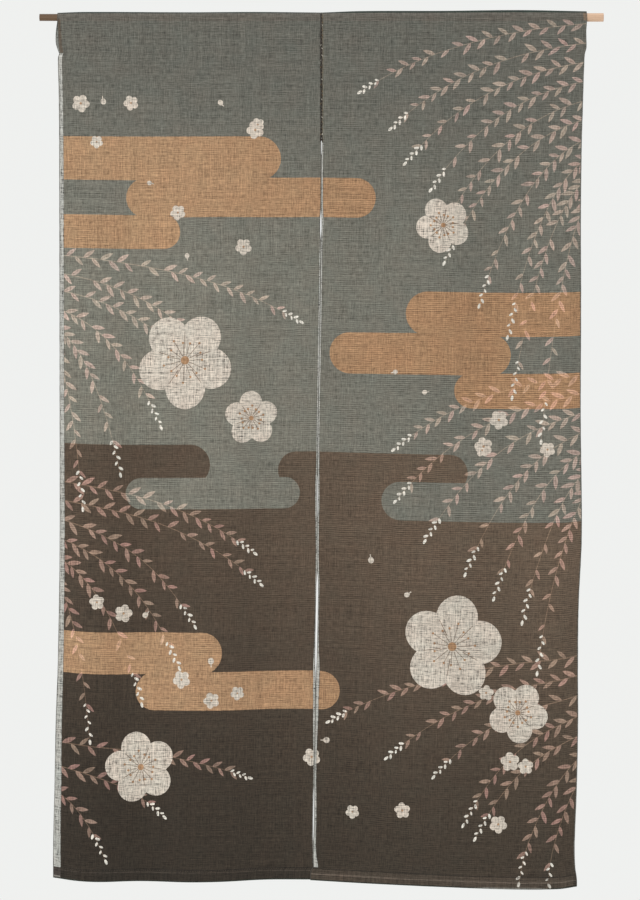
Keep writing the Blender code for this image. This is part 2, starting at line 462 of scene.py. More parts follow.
def addSpray(start, pull, end, side, chance):  # a willow twig: narrow leaves left and right in turn
    length = math.dist(start, pull) + math.dist(pull, end)
    count = int(length / leafPrint["spacing"])
    path = bend(start, pull, end, max(count, 8))
    addShape(ribbon(path, leafPrint["stem"], 0.8), 4, dyes["stem"], 1.0, 0, 1.2)
    buds = leafPrint["buds"]
    for k in range(2, len(path)):
        before = path[k - 1]
        along = math.atan2(path[k][1] - before[1], path[k][0] - before[0])
        if k > len(path) - buds:
            for half in (0.0, 0.5):
                x = before[0] + (path[k][0] - before[0]) * half
                y = before[1] + (path[k][1] - before[1]) * half
                addCatkin(x, y, along + 0.75 * side, chance.uniform(5.5, 8.0))
                side = -side
            continue
        if chance.random() < 0.1:
            continue
        lean = leafPrint["lean"] * side * chance.uniform(0.75, 1.3)
        size = chance.uniform(*leafPrint["length"]) * (1 - 0.35 * (k / len(path)) ** 2)
        colour = dyes["leaf"].lerp(dyes["leafTan"], chance.random()) * chance.uniform(0.8, 1.15)
        addLeaf(path[k][0], path[k][1], along + lean, size, 5 + k * 0.001, colour)
        side = -side
    addCatkin(path[-1][0], path[-1][1], along, 8.0)


willows = [
    # first root, last root, reach of the first and last twig, how many
    ((480, 10), (480, 300), (-440, 130), (-90, 380), 10),
    ((480, 610), (480, 800), (-380, 130), (-90, 330), 7),
    ((480, 1090), (480, 1290), (-430, 120), (-80, 210), 7),
    ((-475, 410), (-475, 560), (400, 130), (70, 250), 6),
    ((-475, 800), (-475, 960), (420, 110), (90, 260), 6),
    ((-475, 1250), (-475, 1330), (330, 60), (110, 130), 3),
]


def addWillows(chance):
    for first, last, reach, lastReach, count in willows:
        for k in range(count):
            u = k / (count - 1)
            x, y = first[0], first[1] + (last[1] - first[1]) * u
            dx = (reach[0] + (lastReach[0] - reach[0]) * u) * chance.uniform(0.85, 1.1)
            dy = (reach[1] + (lastReach[1] - reach[1]) * u) * chance.uniform(0.85, 1.15)
            addSpray((x, y), (x + dx * 0.62, y + dy * 0.12), (x + dx, y + dy), 1 if k % 2 else -1, chance)


def addPlum(x, y, size, turn, layer):  # a five-petal plum blossom seen from the front, left white
    resist = 1.0 if size > 40 else 0.45
    for petal in range(5):
        a = turn + petal * math.tau / 5
        loop = circle(*spot(x, y, a, size * 0.56), size * 0.44, 30 if size > 40 else 12, 0.96, a)
        addShape(roughen(loop) if size > 40 else loop, layer, dyes["white"], 1.0, resist)
    addShape(circle(x, y, size * 0.3, 16), layer, dyes["white"], 1.0, resist)
    if size < 40:
        addShape(circle(x, y, size * 0.14, 8), layer + 0.2, dyes["ochre"], 0.9)
        return
    for petal in range(5):
        a = turn + (petal + 0.5) * math.tau / 5
        path = [spot(x, y, a, size * share) for share in (0.24, 0.36, 0.48, 0.58)]
        addShape(ribbon(path, 1.7, 0.9), layer + 0.2, dyes["line"], 0.85)
    for hair in range(15):
        a = turn + hair * math.tau / 15 + 0.1
        reach = size * (0.46 if hair % 3 == 0 else 0.36)
        path = [spot(x, y, a, out) for out in (size * 0.1, reach * 0.6, reach)]
        addShape(ribbon(path, 1.2, 0.9), layer + 0.3, dyes["line"], 0.85)
        addShape(circle(path[-1][0], path[-1][1], 2.1, 8), layer + 0.3, dyes["ochre"], 1.0)
    addShape(circle(x, y, size * 0.09, 12), layer + 0.4, dyes["ochre"], 1.0)


def addBud(x, y, size, angle, layer):
    addShape(circle(x, y, size, 12, 0.9, angle), layer, dyes["white"], 1.0, 0.45)
    stalk = [spot(x, y, angle, -size * share) for share in (1.8, 0.9)]
    addShape(ribbon(stalk, 1.6), layer - 0.1, dyes["white"], 1.0, 0.4)


plums = {
    "large": [
        # across, down, size, turn
        (-236, 590, 84, 0.3),
        (-118, 690, 47, 0.9),
        (236, 1075, 88, 1.1),
        (352, 1186, 52, 0.2),
        (-306, 1290, 62, 0.7),
        (214, 356, 48, 0.5),
    ],
    "drifts": [
        # from, to, how many
        ((-420, 110), (-90, 190), 6),
        ((-390, 200), (-150, 420), 5),
        ((120, 640), (400, 760), 6),
        ((-420, 980), (-120, 1230), 7),
        ((60, 900), (400, 1330), 7),
        ((-60, 1240), (260, 1440), 5),
    ],
    "small": (11, 17),
    "scatter": 26,
}


def addPlums(chance):
    for x, y, size, turn in plums["large"]:
        addPlum(x, y, size, turn, 8 + size * 0.001)
    for start, end, count in plums["drifts"]:
        for k in range(count):
            u = (k + chance.uniform(0.1, 0.9)) / count
            x = start[0] + (end[0] - start[0]) * u + chance.gauss(0, plums["scatter"])
            y = start[1] + (end[1] - start[1]) * u + chance.gauss(0, plums["scatter"])
            if chance.random() < 0.3:
                addBud(x, y, chance.uniform(4, 6), chance.uniform(0, math.tau), 7)
            else:
                addPlum(x, y, chance.uniform(*plums["small"]), chance.uniform(0, 1.2), 7)


# undyed edges: drop, width of the strip
selvedge = {
    ("left", "outer"): [(62, 6.4), (200, 6.7), (700, 7.6), (1100, 9.2), (1320, 11.4), (1467, 13.0)],
    ("left", "inner"): [(216, 0.7), (370, 0.8), (420, 2.0), (700, 2.2), (945, 2.0), (1000, 1.0),
                        (1080, 1.2), (1125, 3.4), (1226, 3.2), (1300, 1.2), (1461, 0.8)],
    ("right", "inner"): [(216, 2.7), (430, 2.9), (700, 2.5), (945, 2.6), (1000, 1.6), (1080, 2.2),
                         (1125, 5.4), (1190, 5.0), (1280, 3.2), (1400, 3.8), (1440, 5.0), (1464, 8.2)],
    ("right", "outer"): [(86, 1.2), (200, 1.0), (700, 0.7), (1100, 0.8), (1461, 0.9)],
}


def edgeStrip(panelName, side, first, last, width, ragged):  # a loop along one edge of the flat cloth
    inner = []
    count = max(round((last - first) / 5), 2)
    for k in range(count + 1):
        t = first + (last - first) * k / count
        even = readTable(width, t - hang["wrap"]) if isinstance(width, list) else width
        wide = even + ragged * noise.noise(Vector((t / 3.5, 7.2, len(side))))
        inner.append((max(wide, 0.4), t))
    outer = [(-1.0, last), (-1.0, first)]
    loop = inner + outer
    atRight = (panelName == "left") == (side == "inner")
    return [(hang["cutWidth"] - s, t) for s, t in loop] if atRight else loop


def addEdges(panelName, add):
    wrap, seam, seamEnd = hang["wrap"], hang["seamRun"], hang["seamEnd"]
    wide = hang["cutWidth"] + 1
    foot = hang["bottomRun"]
    hemTop = foot - hang["hem"]

    def addBar(t0, t1, dye, opacity):
        bar = [(-1, t0), (wide, t0), (wide, t1), (-1, t1)]
        add(roughen(bar, 4.0, 0.3 if t1 - t0 < 8 else 0.1), 19 + opacity, dyes[dye], opacity)

    def addStrip(side, first, last, width, ragged, layer, dye, opacity, resist):
        add(edgeStrip(panelName, side, first, last, width, ragged), layer, dyes[dye], opacity, resist)

    for (name, side), widths in selvedge.items():
        if name == panelName:
            first, last = widths[0][0] + wrap, widths[-1][0] + wrap
            wider = [(drop, width + 0.9) for drop, width in widths]
            strength = 0.6 if panelName == "right" and side == "outer" else 0.9
            addStrip(side, first, last, wider, 0.9, 19.5, "selvedgeYarn", 0.6, 0.3)
            addStrip(side, first, last, widths, 0.5, 20, "selvedge", strength, 1.3)
            addStrip(side, first, last - 0.5, 0.75, 0.2, 21, "selvedgeYarn", 0.6, 0.5)
    # painted shade of the pole seen through the cloth over it
    addBar(3, 20, "poleShadow", 0.3)
    # painted shade along the fold over the pole and along the bottom fold, where the cloth turns away from
    # the light
    addBar(-2.5, 4.4, "creaseShade", 0.95)
    addBar(foot - 1.6, foot + 1.2, "creaseShade", 0.55)
    addBar(hemTop - 0.9, hemTop + 0.7, "hemLine", 0.7)
    if panelName == "left":
        addStrip("outer", 1 - seam, -2 * wrap, 6.5, 0.5, 20, "pocketEnd", 0.9, 1.2)
        # painted shade in the fold at the pocket's left end, with a painted reflection of the pole
        addStrip("outer", wrap + 3, seam - 1, 5.4, 2.6, 20, "pocketEdgeShade", 0.55, 0.5)
        addStrip("inner", 6, seamEnd, 2.4, 1.0, 20, "seamShade", 0.85, 0.2)
        addStrip("outer", hemTop + 1, foot - 1, 13, 0.8, 20, "hemEnd", 0.3, 0.4)
        addStrip("outer", foot - 4.5, foot - 1.5, 12, 0.5, 20.1, "hemCorner", 0.55, 0.8)
        # painted shade over the doubled hem
        addBar(hemTop + 0.7, foot - 1.6, "hemShade", 0.35)
        addBar(hemTop + 4, hemTop + 5.6, "hemLight", 0.25)
    else:
        addStrip("inner", 6, seamEnd, 3.2, 1.6, 20, "seamTan", 0.45, 0.4)
        addStrip("inner", 6, seamEnd, 1.6, 1.1, 20.1, "seamShade", 0.9, 0.2)
        # painted light: the lit pole glowing through the cloth at the right end of the pocket
        addStrip("outer", 5, 19, 6.0, 2.0, 20, "poleGlow", 0.5, 0.4)
        # painted shade at the outer end of the doubled hem
        addStrip("outer", hemTop + 1, foot - 1, 6.0, 1.6, 20, "hemShade", 0.5, 0.2)
        addBar(hemTop + 0.7, foot - 1.6, "hemBand", 0.3)
        addBar(hemTop + 8, hemTop + 10.6, "hemLight", 0.35)
        worn = [(278, -0.2), (305, -2.0), (390, -2.6), (410, -0.2), (410, 0.4), (278, 0.4)]
        loop = [(s, foot + t) for s, t in worn]
        add(roughen(loop, 4.0, 0.6), 20.2, dyes["hemCorner"], 0.5, 0.5)


chance = random.Random(7)
addGrounds()
addWillows(chance)
addPlums(chance)
print("print laid out:", len(printed), "shapes")


# cloth

def clothRows():  # seams and turns, as rows of whole edges across the cloth
    seam, wrap, bottom = hang["seamRun"], hang["wrap"], hang["bottomRun"]
    rows = [-seam + k * (seam - wrap) / 8 for k in range(8)]
    rows += [-wrap + k * wrap / 6 for k in range(13)]
    rows += [wrap + (k + 1) * (seam - wrap) / 8 for k in range(8)]
    hem = bottom - hang["hem"]
    rows += [hem - 2, hem, hem + 3, hem + hang["hem"] / 2]
    rows += [bottom + hang["turnRun"] * k / 6 for k in range(7)]
    rows += [bottom + hang["turnRun"] + hang["hem"] / 2, bottom + hang["turnRun"] + hang["hem"]]
    return rows


clothMesh = {
    "across": 6.0,  # mm between the points of the mesh that follow the folds
    "down": 8.6,
}


def cutCloth(panelName):  # the flat cloth, cut along its print
    panel = panels[panelName]
    width = hang["cutWidth"]
    rows = clothRows()
    points, faces, edges, dyed = [], [], [], []

    def addFace(loop):  # the cut reads a loop that runs the other way as its outside
        first = len(points)
        area = sum(p[0] * q[1] - q[0] * p[1] for p, q in zip(loop, loop[1:] + loop[:1]))
        points.extend(Vector(p) for p in (loop if area > 0 else loop[::-1]))
        faces.append(list(range(first, first + len(loop))))

    addFace([(0, rows[0]), (width, rows[0]), (width, rows[-1]), (0, rows[-1])])
    for shape in printed:
        loop = [(x - panel["start"], y + hang["wrap"]) for x, y in shape["loop"]]
        if max(p[0] for p in loop) > 0 and min(p[0] for p in loop) < width:
            addFace(loop)
            dyed.append(shape)

    def addEdge(loop, layer, colour, opacity, resist=0.0):
        addFace(loop)
        dyed.append({"layer": layer, "colour": colour, "opacity": opacity, "resist": resist, "glow": 0})

    addEdges(panelName, addEdge)
    columns = round(width / clothMesh["across"])
    for row in rows:
        first = len(points)
        points.extend(Vector((width * k / columns, row)) for k in range(columns + 1))
        edges.append((first, first + columns))
    foot = hang["bottomRun"] - hang["hem"] - 2
    count = round((foot - hang["seamRun"]) / clothMesh["down"])
    for k in range(1, count):
        row = hang["seamRun"] + (foot - hang["seamRun"]) * k / count
        shift = 0.5 * (k % 2)
        places = [0, 1.2, 2.6] + [(c + shift) * width / columns for c in range(1, columns)]
        places += [width - 2.6, width - 1.2, width]
        points.extend(Vector((s, row)) for s in places)
    flat, _, triangles, _, _, sources = geometry.delaunay_2d_cdt(points, edges, faces, 1, 1e-4)
    inside = [k for k, source in enumerate(sources) if 0 in source and len(triangles[k]) == 3]
    layers = []
    for k in inside:
        covering = [dyed[source - 1] for source in sources[k] if source > 0]
        layers.append(sorted(covering, key=lambda shape: shape["layer"]))
    return flat, [triangles[k] for k in inside], layers


def dyeAt(layers, x, y):
    colour, resist = Vector((0.1, 0.1, 0.1)), 0.0
    ground = colour
    onOchre = False
    for shape in layers:
        own = shape["colour"](x, y) if callable(shape["colour"]) else shape["colour"]
        onOchre = onOchre or shape["layer"] == 3
        if shape["glow"]:  # leaves that cross don't brighten each other
            own = own + ground * min(shape["glow"], 1.0 if onOchre else 2.0)
        colour = colour.lerp(own, shape["opacity"])
        if shape["layer"] < 4:
            ground = colour
        resist += (shape["resist"] - resist) * shape["opacity"]
    return (*colour, resist / 2)


def newObject(name, data):
    made = bpy.data.objects.new(name, data)
    bpy.context.collection.objects.link(made)
    return made


def makeCloth(panelName):
    panel = panels[panelName]
    flat, triangles, layers = cutCloth(panelName)
    used = sorted({corner for triangle in triangles for corner in triangle})
    order = {corner: k for k, corner in enumerate(used)}
    hung = [clothPoint(panel, *flat[corner]) for corner in used]
    # the front of the cloth faces -Y, so each triangle runs clockwise on the flat print
    a, b, c = [flat[corner] for corner in triangles[0]]
    if (b - a).cross(c - a) >= 0:
        triangles = [list(triangle)[::-1] for triangle in triangles]
    name = "cloth_" + panelName
    mesh = bpy.data.meshes.new(name)
    mesh.from_pydata(hung, [], [[order[corner] for corner in triangle] for triangle in triangles])
    weave, dye = [], []
    for triangle, shapes in zip(triangles, layers):
        for corner in triangle:
            s, t = flat[corner]
            weave.extend((s * mm, -t * mm))
            dye.extend(dyeAt(shapes, s + panel["start"], t - hang["wrap"]))
    mesh.uv_layers.new(name="weave")
    mesh.color_attributes.new("dye", "FLOAT_COLOR", "CORNER")
    mesh.uv_layers["weave"].data.foreach_set("uv", weave)
    mesh.color_attributes["dye"].data.foreach_set("color", dye)
    mesh.shade_smooth()
    return newObject(name, mesh)


# materials

def addNode(tree, kind, inputs=(), **values):
    node = tree.nodes.new(kind)
    for name, value in values.items():
        setattr(node, name, value)
    for name, value in dict(inputs).items():
        if isinstance(value, bpy.types.NodeSocket):
            tree.links.new(value, node.inputs[name])
        else:
            node.inputs[name].default_value = value
    return node


def maths(tree, operation, a, b=0.0, c=0.0):
    return addNode(tree, "ShaderNodeMath", {0: a, 1: b, 2: c}, operation=operation).outputs[0]


def stretched(tree, place, across, down, detail=1.0):  # features a metre across and down
    scaled = addNode(tree, "ShaderNodeVectorMath", {0: place, 1: (across, down, 1)}, operation="MULTIPLY")
    cloud = addNode(tree, "ShaderNodeTexNoise",
                    {"Vector": scaled.outputs[0], "Scale": 1.0, "Detail": detail}, noise_dimensions="2D")
    return maths(tree, "SUBTRACT", cloud.outputs["Fac"], 0.5)


def newFinish(name, roughness, specular):
    finish = bpy.data.materials.new(name)
    finish.use_nodes = True
    shader = finish.node_tree.nodes["Principled BSDF"]
    shader.inputs["Roughness"].default_value = roughness
    shader.inputs["Specular IOR Level"].default_value = specular
    return finish, finish.node_tree, shader


hemp = {
    "long": 0.72,  # strength of long streaks, where a thick yarn runs
    "slub": 0.9,  # strength of short thick places
    "grain": 0.6,
    "rib": 0.3,  # strength of the weft's ribs, in patches towards the right
    "ribPitch": 3.44,  # mm
    "ribHeight": -0.8,  # metres, where the ribs are strongest
    "ribReach": 0.45,
    "bump": 0.35,
    "roughness": 0.9,
}


def hempMaterial():
    finish, tree, shader = newFinish("printedHemp", hemp["roughness"], 0.2)
    shader.inputs["Sheen Weight"].default_value = 0.08
    shader.inputs["Sheen Roughness"].default_value = 0.6
    place = addNode(tree, "ShaderNodeUVMap", uv_map="weave").outputs[0]
    dye = addNode(tree, "ShaderNodeAttribute", attribute_name="dye")
    flatParts = addNode(tree, "ShaderNodeSeparateXYZ", {0: place})
    hungPlace = addNode(tree, "ShaderNodeTexCoord").outputs["Object"]
    hungParts = addNode(tree, "ShaderNodeSeparateXYZ", {0: hungPlace})
    # ribs, where the weft lies thick
    patches = stretched(tree, place, 14, 26, 2.0)
    away = maths(tree, "MULTIPLY_ADD", flatParts.outputs["Y"], 1 / hemp["ribReach"],
                 -hemp["ribHeight"] / hemp["ribReach"])
    middle = maths(tree, "MAXIMUM", maths(tree, "SUBTRACT", 1.0, maths(tree, "MULTIPLY", away, away)), -0.3)
    strength = maths(tree, "MULTIPLY_ADD", middle, 0.12, patches)
    strength = maths(tree, "MULTIPLY_ADD", hungParts.outputs["X"], 0.25, strength)
    ribbed = addNode(tree, "ShaderNodeMapRange", {"Value": strength, "From Min": -0.04, "From Max": 0.3,
                                                  "To Min": 0.06, "To Max": 1.0}).outputs[0]
    wander = maths(tree, "MULTIPLY", stretched(tree, place, 30, 30), 5.0)
    turns = maths(tree, "MULTIPLY_ADD", flatParts.outputs["Y"], math.tau / (hemp["ribPitch"] * mm), wander)
    ribs = maths(tree, "MULTIPLY", maths(tree, "SINE", turns), ribbed)
    plainDye = maths(tree, "MAXIMUM", maths(tree, "MULTIPLY_ADD", dye.outputs["Alpha"], -1.5, 1.0), 0.0)
    ribs = maths(tree, "MULTIPLY", ribs, plainDye)  # weaker on cloth kept from the dye
    # single yarns
    plainer = maths(tree, "MULTIPLY_ADD", ribbed, -0.5, 1.0)
    warpLong = maths(tree, "MULTIPLY", stretched(tree, place, 760, 9), plainer)
    weftLong = stretched(tree, place, 9, 760)
    warpSlub = maths(tree, "MULTIPLY", stretched(tree, place, 680, 80), plainer)
    weftSlub = stretched(tree, place, 80, 680)
    streaks = maths(tree, "MULTIPLY", maths(tree, "ADD", warpLong, weftLong), hemp["long"])
    slubs = maths(tree, "MULTIPLY", maths(tree, "ADD", warpSlub, weftSlub), hemp["slub"])
    rough = maths(tree, "ADD", streaks, slubs)
    rough = maths(tree, "MULTIPLY_ADD", stretched(tree, place, 900, 900), hemp["grain"], rough)
    rough = maths(tree, "MULTIPLY_ADD", ribs, hemp["rib"], rough)
    # cloth kept from the dye shows its darker yarns more
    resist = maths(tree, "MULTIPLY", dye.outputs["Alpha"], 1.6)
    dark = maths(tree, "MULTIPLY", maths(tree, "MINIMUM", rough, 0.0), resist)
    tone = maths(tree, "ADD", maths(tree, "ADD", rough, dark), 1.0)
    cloud = addNode(tree, "ShaderNodeTexNoise", {"Vector": place, "Scale": 26.0, "Detail": 3.0},
                    noise_dimensions="2D")
    warm = addNode(tree, "ShaderNodeMix", {"Factor": cloud.outputs["Fac"], "A": (1.05, 0.99, 0.97, 1),
                                           "B": (0.95, 1.01, 1.02, 1)}, data_type="RGBA")
    tinted = addNode(tree, "ShaderNodeMix", {"Factor": 1.0, "A": dye.outputs["Color"],
                                             "B": warm.outputs["Result"]},
                     data_type="RGBA", blend_type="MULTIPLY")
    scaled = addNode(tree, "ShaderNodeVectorMath", {0: tinted.outputs["Result"]}, operation="SCALE")
    tree.links.new(tone, scaled.inputs["Scale"])
    tree.links.new(scaled.outputs[0], shader.inputs["Base Color"])
    lines = addNode(tree, "ShaderNodeBump", {"Height": rough, "Strength": hemp["bump"], "Distance": 0.001})
    tree.links.new(lines.outputs[0], shader.inputs["Normal"])
    return finish


def threadMaterial(name, colour):  # spun thread with a visible twist
    finish, tree, shader = newFinish(name, 0.75, 0.25)
    place = addNode(tree, "ShaderNodeTexCoord").outputs["Object"]
    fibre = addNode(tree, "ShaderNodeTexNoise", {"Vector": place, "Scale": 900.0, "Detail": 2.0})
    tone = addNode(tree, "ShaderNodeMix", {"Factor": fibre.outputs["Fac"], "A": (*(colour * 0.6), 1),
                                           "B": (*(colour * 1.35), 1)}, data_type="RGBA")
    tree.links.new(tone.outputs["Result"], shader.inputs["Base Color"])
    twist = addNode(tree, "ShaderNodeBump", {"Height": fibre.outputs["Fac"], "Strength": 0.5,
                                             "Distance": 0.0002})
    tree.links.new(twist.outputs[0], shader.inputs["Normal"])
    return finish


hempFinish = hempMaterial()
for panelName, panel in panels.items():
    cloth = makeCloth(panelName)
    cloth.data.materials.append(hempFinish)
    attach(cloth, "root")
    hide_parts(panel["node"])
    print("cloth made:", cloth.name, len(cloth.data.polygons), "triangles")


# yarns and stitches

sewing = {
    "yarnRadius": 0.38,  # the outermost yarn of each selvedge
    "stitchRadius": 0.24,
    "pocketStitch": (2.6, 4.4),  # length of a stitch, and from one to the next
    "hemStitch": (2.4, 4.2),
    "seamStitch": (3.6, 5.8),
    "rise": 0.34,  # how far a stitch stands off the cloth
}


def addTube(verts, faces, path, radius, sides=6, taper=False):
    first = len(verts)
    for k, point in enumerate(path):
        before, after = path[max(k - 1, 0)], path[min(k + 1, len(path) - 1)]
        along = (after - before).normalized()
        side = along.cross(Vector((0, 1, 0)))
        side = side.normalized() if side.length > 0.05 else along.cross(Vector((1, 0, 0))).normalized()
        out = side.cross(along).normalized()
        reach = radius * (0.55 if taper and k in (0, len(path) - 1) else 1.0)
        for n in range(sides):
            a = math.tau * n / sides
            verts.append(point + (side * math.cos(a) + out * math.sin(a)) * reach)
    for k in range(len(path) - 1):
        for n in range(sides):
            a, b = first + k * sides + n, first + k * sides + (n + 1) % sides
            faces.append((a, b, b + sides, a + sides))
    faces.append(tuple(first + n for n in range(sides))[::-1])
    last = first + (len(path) - 1) * sides
    faces.append(tuple(last + n for n in range(sides)))


def finishTubes(name, verts, faces, finish):
    mesh = bpy.data.meshes.new(name)
    mesh.from_pydata(verts, [], faces)
    mesh.validate()
    shape = bmesh.new()
    shape.from_mesh(mesh)
    bmesh.ops.recalc_face_normals(shape, faces=shape.faces)
    shape.to_mesh(mesh)
    shape.free()
    mesh.shade_smooth()
    mesh.materials.append(finish)
    piece = newObject(name, mesh)
    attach(piece, "root")
    print("thread made:", name, len(mesh.polygons), "faces")


def makeSelvedgeYarns(finish):
    for panelName, panel in panels.items():
        for edge, s in (("outer", 0), ("inner", hang["cutWidth"])):
            s = s if panelName == "left" else hang["cutWidth"] - s
            verts, faces, path = [], [], []
            first, last = -hang["seamRun"] + 1, hang["lastRun"] - 1
            count = round((last - first) / 3.5)
            for k in range(count + 1):
                t = first + (last - first) * k / count
                point = clothPoint(panel, s, t)
                wander = noise.noise_vector(Vector((t / 9, s, 4.4))) * 0.22 * mm
                path.append(point + Vector((wander.x, wander.y, 0)))
            addTube(verts, faces, path, sewing["yarnRadius"] * mm)
            finishTubes("selvedge_yarn_" + panelName + "_" + edge, verts, faces, finish)


def stitchPath(panel, places):  # places: (s, t) along one stitch
    path = []
    for k, (s, t) in enumerate(places):
        u = k / (len(places) - 1)
        lift = (sewing["rise"] * math.sin(math.pi * u) - 0.12) * mm
        path.append(clothPoint(panel, s, t) - Vector((0, lift, 0)))
    return path


def makeRowStitches(name, t, spacing, finish, seed):  # running stitches across both panels
    length, step = spacing
    for panelName, panel in panels.items():
        verts, faces = [], []
        chance = random.Random(seed)
        s = 4.0
        while s < hang["cutWidth"] - 7:
            run = length * chance.uniform(0.85, 1.1)
            here = t + chance.uniform(-0.35, 0.35)
            places = [(s + run * k / 4, here + 0.1 * k) for k in range(5)]
            path = stitchPath(panel, places)
            addTube(verts, faces, path, sewing["stitchRadius"] * mm, 5, True)
            s += step * chance.uniform(0.92, 1.08)
        finishTubes(name + "_" + panelName, verts, faces, finish)


def makeSeamStitches(finish, brown, pale):  # down the centre seam
    chance = random.Random(3)
    length, step = sewing["seamStitch"]
    verts, faces = [], []
    t = -4.0
    while t < hang["seamEnd"] - 2:  # dark running stitches in the join
        lean = chance.uniform(-0.5, 0.6)
        run = length * chance.uniform(0.8, 1.15)
        path = []
        for n in range(5):
            u = n / 4
            at = t + run * u
            left = clothPoint(panels["left"], hang["cutWidth"] - 1.3, at)
            right = clothPoint(panels["right"], 1.3, at)
            path.append(left.lerp(right, 0.5 + lean * (u - 0.5)))
            path[-1].y = min(left.y, right.y) - (0.25 * math.sin(math.pi * u) - 0.05) * mm
        addTube(verts, faces, path, sewing["stitchRadius"] * 2.0 * mm, 6, True)
        t += step * chance.uniform(0.9, 1.12)
    finishTubes("seam_stitches", verts, faces, finish)
    t = 12.0
    overs = {"brown": ([], []), "pale": ([], [])}
    while t < hang["seamEnd"] - 9:  # slanting stitches over the right edge, and a few over the left
        colour = "pale" if chance.random() < 0.45 else "brown"
        onLeft = chance.random() < 0.2
        reach = chance.uniform(1.2, 2.6) if colour == "brown" else chance.uniform(1.0, 1.6)
        fall = chance.uniform(1.5, 3.6)
        places = []
        for n in range(5):
            s = 0.3 + reach * n / 4
            places.append((hang["cutWidth"] - s if onLeft else s, t + fall * n / 4))
        path = stitchPath(panels["left" if onLeft else "right"], places)
        addTube(*overs[colour], path, sewing["stitchRadius"] * 1.9 * mm, 6, True)
        t += chance.uniform(5.0, 13.0)
    finishTubes("seam_stitches_brown", *overs["brown"], brown)
    finishTubes("seam_stitches_pale", *overs["pale"], pale)


def makeTack(finish, pale):  # thread wound across the top of the slit, and its cut end
    verts, faces = [], []
    for k in range(5):
        t = hang["seamEnd"] - 4 + k * 0.55
        left = clothPoint(panels["left"], hang["cutWidth"] - 1.9, t)
        right = clothPoint(panels["right"], 1.9, t + 0.3)
        path = [left.lerp(right, n / 6) for n in range(7)]
        front = min(point.y for point in path)
        for n, point in enumerate(path):
            point.y = front + (0.25 - 0.6 * math.sin(math.pi * n / 6)) * mm
        addTube(verts, faces, path, 0.26 * mm, 6, True)
    finishTubes("slit_tack", verts, faces, finish)
    verts, faces = [], []
    knot = clothPoint(panels["right"], 1.4, hang["seamEnd"] - 13)
    loop = []
    for k in range(13):
        a = math.tau * k / 9
        turn = Vector((0.75 * math.cos(a), -0.55 - 0.05 * k, 0.8 * math.sin(a) - 0.03 * k))
        loop.append(knot + turn * mm)
    loop.append(knot + Vector((1.4, -1.0, -1.6)) * mm)
    addTube(verts, faces, loop, 0.3 * mm, 6, True)
    finishTubes("thread_end", verts, faces, pale)


yarnFinish = threadMaterial("selvedgeYarn", paint(96, 93, 86))
darkThread = threadMaterial("darkThread", paint(56, 48, 42))
greyThread = threadMaterial("greyThread", paint(112, 108, 99))
brownThread = threadMaterial("brownThread", paint(92, 82, 71))
tanThread = threadMaterial("tanThread", paint(122, 100, 72))
paleThread = threadMaterial("paleThread", paint(200, 194, 180))
makeSelvedgeYarns(yarnFinish)
makeRowStitches("pocket_stitches", hang["seamRun"] - 1, sewing["pocketStitch"], greyThread, 5)
makeRowStitches("hem_stitches", hang["bottomRun"] - hang["hem"] + 1.5, sewing["hemStitch"], brownThread, 6)
makeSeamStitches(darkThread, tanThread, paleThread)
makeTack(darkThread, paleThread)


# pole

poleWood = {
    # dark brown at the left to pale tan at the right: partly the wood's own tone, partly painted shade at
    # the left end and painted light at the right end
    "leftShadedColour": paint(102, 79, 57),
    "rightLitColour": paint(224, 188, 158),
    "roughness": 0.55,
}


def woodMaterial():
    finish, tree, shader = newFinish("plainWood", poleWood["roughness"], 0.35)
    place = addNode(tree, "ShaderNodeTexCoord").outputs["Object"]
    parts = addNode(tree, "ShaderNodeSeparateXYZ", {0: place})
    # painted shade to the left and painted light to the right, blended with the wood's own change of tone
    toRight = addNode(tree, "ShaderNodeMapRange", {"Value": parts.outputs["X"], "From Min": -0.46,
                                                   "From Max": 0.1})
    base = addNode(tree, "ShaderNodeMix", {"Factor": toRight.outputs[0], "A": (*poleWood["leftShadedColour"], 1),
                                           "B": (*poleWood["rightLitColour"], 1)}, data_type="RGBA")
    drawn = addNode(tree, "ShaderNodeMapping", {"Vector": place, "Scale": (6, 420, 420)})
    grain = addNode(tree, "ShaderNodeTexNoise", {"Vector": drawn.outputs[0], "Scale": 1.0, "Detail": 5.0,
                                                 "Distortion": 0.4})
    pores = addNode(tree, "ShaderNodeMapping", {"Vector": place, "Scale": (55, 2300, 2300)})
    fleck = addNode(tree, "ShaderNodeTexNoise", {"Vector": pores.outputs[0], "Scale": 1.0, "Detail": 2.0})
    shade = maths(tree, "MULTIPLY_ADD", grain.outputs["Fac"], 0.7, 0.65)
    flecked = maths(tree, "MULTIPLY_ADD", fleck.outputs["Fac"], 0.35, 0.83)
    both = maths(tree, "MULTIPLY", shade, flecked)
    colour = addNode(tree, "ShaderNodeVectorMath", {0: base.outputs["Result"]}, operation="SCALE")
    tree.links.new(both, colour.inputs["Scale"])
    tree.links.new(colour.outputs[0], shader.inputs["Base Color"])
    relief = addNode(tree, "ShaderNodeBump", {"Height": both, "Strength": 0.3, "Distance": 0.0004})
    tree.links.new(relief.outputs[0], shader.inputs["Normal"])
    return finish


